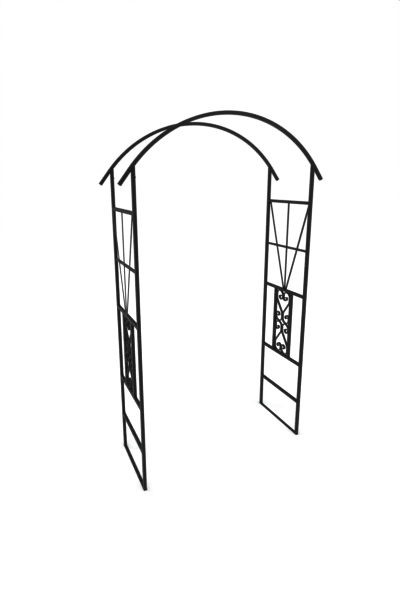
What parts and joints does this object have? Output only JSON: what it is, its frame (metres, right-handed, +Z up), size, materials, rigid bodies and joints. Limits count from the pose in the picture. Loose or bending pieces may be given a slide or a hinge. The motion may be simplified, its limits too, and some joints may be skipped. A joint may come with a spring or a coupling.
{
  "type": "garden arch",
  "caption": "Free-standing metal trellis arch: ladder-like side panels with a fan of strips over a scrollwork panel, joined by bent tube hoops with overhanging ends.",
  "frame": {"origin": "on the ground, in the middle of the arch between the two side panels", "axes": "+X across the walk-through to the right-hand panel, +Y through the arch from front to back, +Z up"},
  "size_m": [1.3664, 0.433, 2.2435],
  "materials": {
    "frame_paint": "satin near-black powder coat on welded steel tube and flat bar",
    "scroll_paint": "satin near-black powder coat on bent steel bar",
    "spigot_paint": "powder coat, hidden inside the uprights",
    "screw_steel": "blackened steel",
    "plug_plastic": "matt black moulded plastic"
  },
  "bodies": {
    "root": {"left_top_rail": "frame_paint", "left_mid_bar": "frame_paint", "left_scroll_head_rail": "frame_paint", "left_scroll_foot_rail": "frame_paint", "left_lower_rail": "frame_paint", "left_foot_bar": "frame_paint", "left_middle_fan_strip": "frame_paint", "right_top_rail": "frame_paint", "right_mid_bar": "frame_paint", "right_scroll_head_rail": "frame_paint", "right_scroll_foot_rail": "frame_paint", "right_lower_rail": "frame_paint", "right_foot_bar": "frame_paint", "right_middle_fan_strip": "frame_paint", "left_front_upright": "frame_paint", "left_front_fan_strip": "frame_paint", "left_front_stile": "frame_paint", "left_front_spigot": "spigot_paint", "left_back_upright": "frame_paint", "left_back_fan_strip": "frame_paint", "left_back_stile": "frame_paint", "left_back_spigot": "spigot_paint", "right_front_upright": "frame_paint", "right_front_fan_strip": "frame_paint", "right_front_stile": "frame_paint", "right_front_spigot": "spigot_paint", "right_back_upright": "frame_paint", "right_back_fan_strip": "frame_paint", "right_back_stile": "frame_paint", "right_back_spigot": "spigot_paint", "left_front_upper_scroll": "scroll_paint", "left_front_lower_scroll": "scroll_paint", "left_back_upper_scroll": "scroll_paint", "left_back_lower_scroll": "scroll_paint", "right_front_upper_scroll": "scroll_paint", "right_front_lower_scroll": "scroll_paint", "right_back_upper_scroll": "scroll_paint", "right_back_lower_scroll": "scroll_paint", "front_hoop": "frame_paint", "back_hoop": "frame_paint", "spigot_screws": "screw_steel", "hoop_end_plugs": "plug_plastic"}
  },
  "joints": []
}
